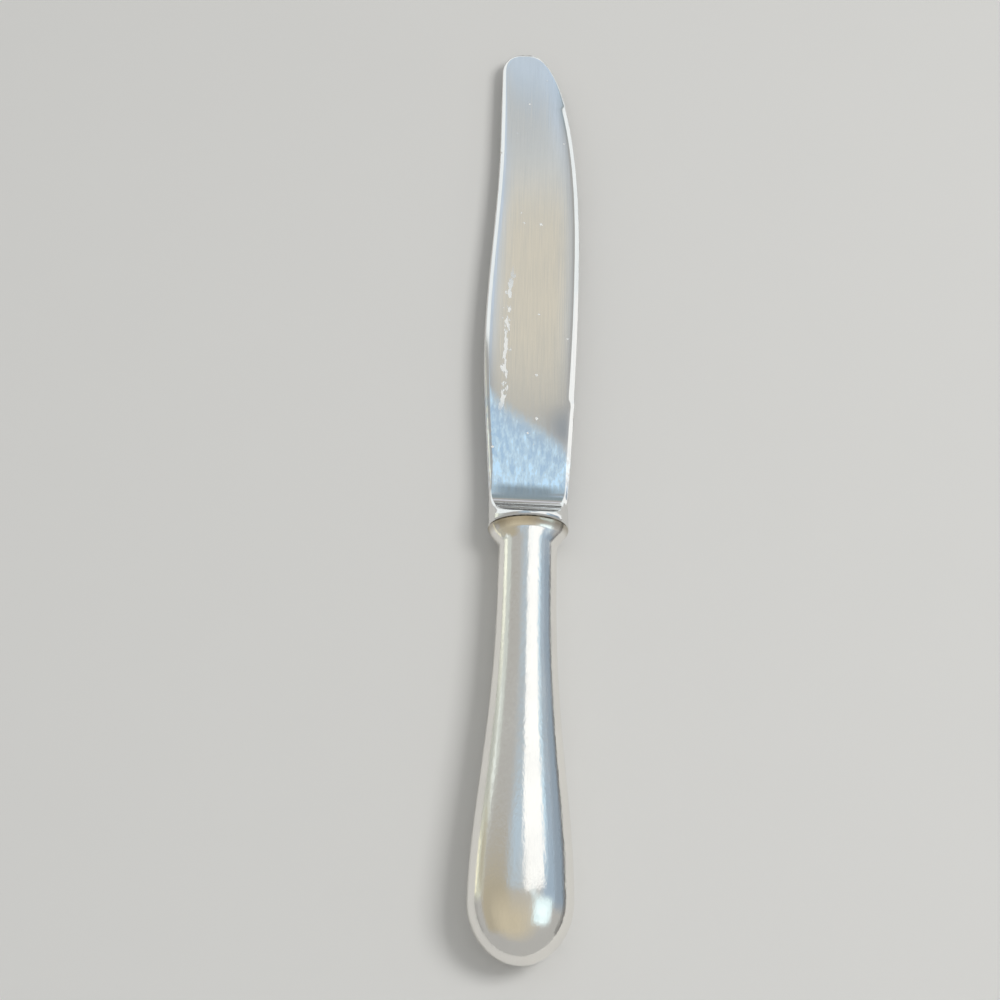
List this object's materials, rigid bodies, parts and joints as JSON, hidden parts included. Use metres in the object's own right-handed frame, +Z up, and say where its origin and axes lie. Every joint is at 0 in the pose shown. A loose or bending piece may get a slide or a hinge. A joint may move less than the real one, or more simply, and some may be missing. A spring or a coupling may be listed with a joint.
{
  "type": "dinner knife",
  "caption": "Table knife lying flat: ground steel blade with a rounded tip and a forged oval bolster, on a bulb-ended hollow handle of soldered half shells.",
  "frame": {"origin": "on the table under the middle of the knife's length, below its long axis", "axes": "+Y along the knife towards the blade's tip, +X towards the cutting edge, +Z up from the table; the long axis dips 1.0 degree towards the tip, as the knife lies"},
  "size_m": [0.0224, 0.2462, 0.015],
  "materials": {
    "blade_steel": "satin, ground lengthwise",
    "silver_plate": "polished, with fine wear",
    "solder": "dull, tarnished",
    "cement": "matt"
  },
  "bodies": {
    "root": {"blade": "blade_steel", "handle_front": "silver_plate", "handle_back": "silver_plate", "handle_filling": "cement", "seam_solder": "solder", "neck_solder": "solder"}
  },
  "joints": []
}
